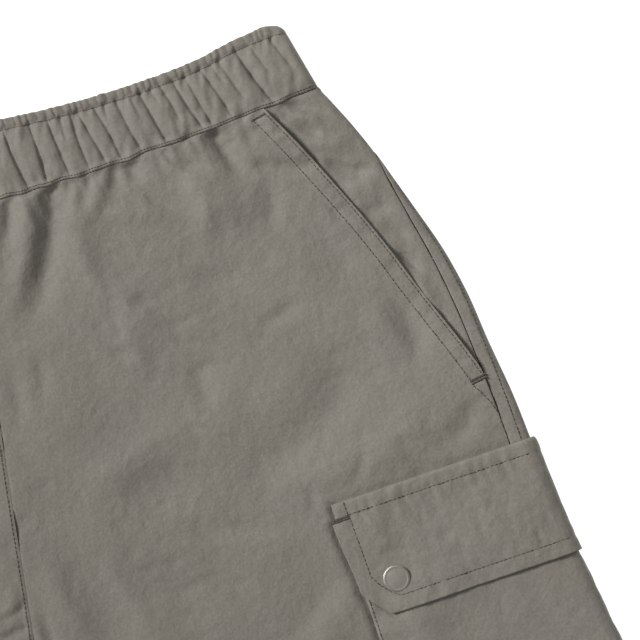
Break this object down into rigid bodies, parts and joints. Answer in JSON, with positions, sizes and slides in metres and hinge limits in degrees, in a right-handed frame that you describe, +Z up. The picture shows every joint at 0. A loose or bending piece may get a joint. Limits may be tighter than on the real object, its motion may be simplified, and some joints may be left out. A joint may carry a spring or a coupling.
{
  "type": "outdoor trousers",
  "caption": "Long outdoor trousers laid flat, with a gathered elastic waistband, slant hip pockets and flap cargo pockets over the side seams.",
  "frame": {"origin": "on the surface that the trousers lie on, under the middle of their outline", "axes": "+X towards the wearer's left, +Y from the hems to the waist, +Z up from the surface, out of the front"},
  "size_m": [0.8702, 1.0728, 0.0146],
  "materials": {
    "panel_cloth": "smooth dense nylon and cotton weave, warm grey, faint crinkle",
    "pocket_cloth": "the same warm grey weave, doubled and topstitched",
    "waistband_cloth": "the same warm grey weave, gathered over elastic",
    "snap_metal": "dull pewter cap with a rolled rim"
  },
  "bodies": {
    "root": {"waistband": "waistband_cloth", "front_left": "panel_cloth", "front_right": "panel_cloth", "back_left": "panel_cloth", "back_right": "panel_cloth", "hip_facing_left": "panel_cloth", "hip_facing_right": "panel_cloth", "cargo_pocket_left": "pocket_cloth", "cargo_pocket_right": "pocket_cloth", "pocket_flap_left": "pocket_cloth", "pocket_flap_right": "pocket_cloth", "snap_front_left": "snap_metal", "snap_back_left": "snap_metal", "snap_front_right": "snap_metal", "snap_back_right": "snap_metal"}
  },
  "joints": []
}
